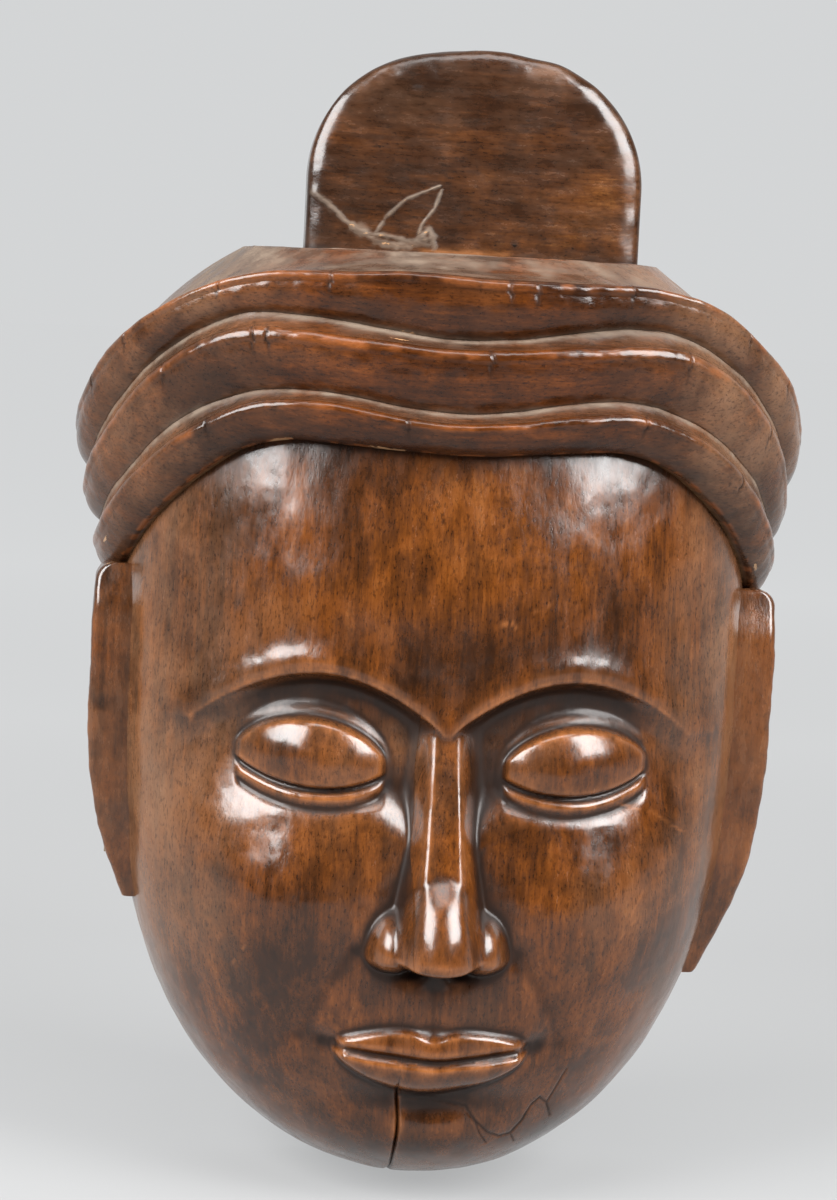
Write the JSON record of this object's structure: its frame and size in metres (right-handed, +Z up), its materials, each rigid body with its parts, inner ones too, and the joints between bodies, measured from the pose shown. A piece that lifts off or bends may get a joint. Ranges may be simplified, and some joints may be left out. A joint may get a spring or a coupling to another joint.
{
  "type": "carved wooden wall mask",
  "caption": "Large hollow carved wooden face mask with stepped wavy hair, flat topknot board, ear strips and a ring hanger on a batten behind.",
  "frame": {"origin": "on the flat back of the crown block, on the centre line, in the plane that lies against the wall", "axes": "+Z up to the topknot, +Y out of the back towards the wall, so the face looks along -Y and +X is at the right of someone facing it"},
  "size_m": [0.368, 0.1634, 0.56],
  "materials": {
    "face_wood": "polished stained hardwood, orange brown, vertical grain",
    "hair_wood": "polished stained hardwood, dark brown, horizontal grain, dusty ledges",
    "topknot_wood": "polished stained hardwood, dark, horizontal grain",
    "ear_wood": "stained hardwood, vertical grain",
    "batten_wood": "sawn softwood, unstained",
    "dowel_wood": "turned pale wood",
    "screw_steel": "dull plated steel",
    "cramp_iron": "dark wrought iron, slight rust",
    "hanger_steel": "dull plated steel",
    "nail_iron": "dark iron"
  },
  "bodies": {
    "mask": {"face_board_left": "face_wood", "face_board_right": "face_wood", "ear_left": "ear_wood", "ear_right": "ear_wood", "topknot_board": "topknot_wood", "crown_block": "hair_wood", "hair_band_lower": "hair_wood", "hair_band_middle": "hair_wood", "hair_band_upper": "hair_wood", "upper_batten": "batten_wood", "lower_batten": "batten_wood", "upper_batten_screws": "screw_steel", "lower_batten_screws": "screw_steel", "joint_cramps": "cramp_iron", "hanger_plate": "hanger_steel", "hanger_screws": "screw_steel", "face_dowels": "dowel_wood", "hair_dowels": "dowel_wood", "band_pegs": "dowel_wood", "crown_dowels": "dowel_wood", "topknot_dowels": "dowel_wood", "ear_pegs": "dowel_wood", "topknot_nail": "nail_iron"},
    "ring": {"hanger_ring": "hanger_steel"}
  },
  "joints": [
    {"name": "ring_hinge", "type": "hinge", "parent": "mask", "child": "ring", "pos_m": [0, -0.0076, -0.061], "axis": [1, 0, 0], "range_deg": [0, 180]}
  ]
}
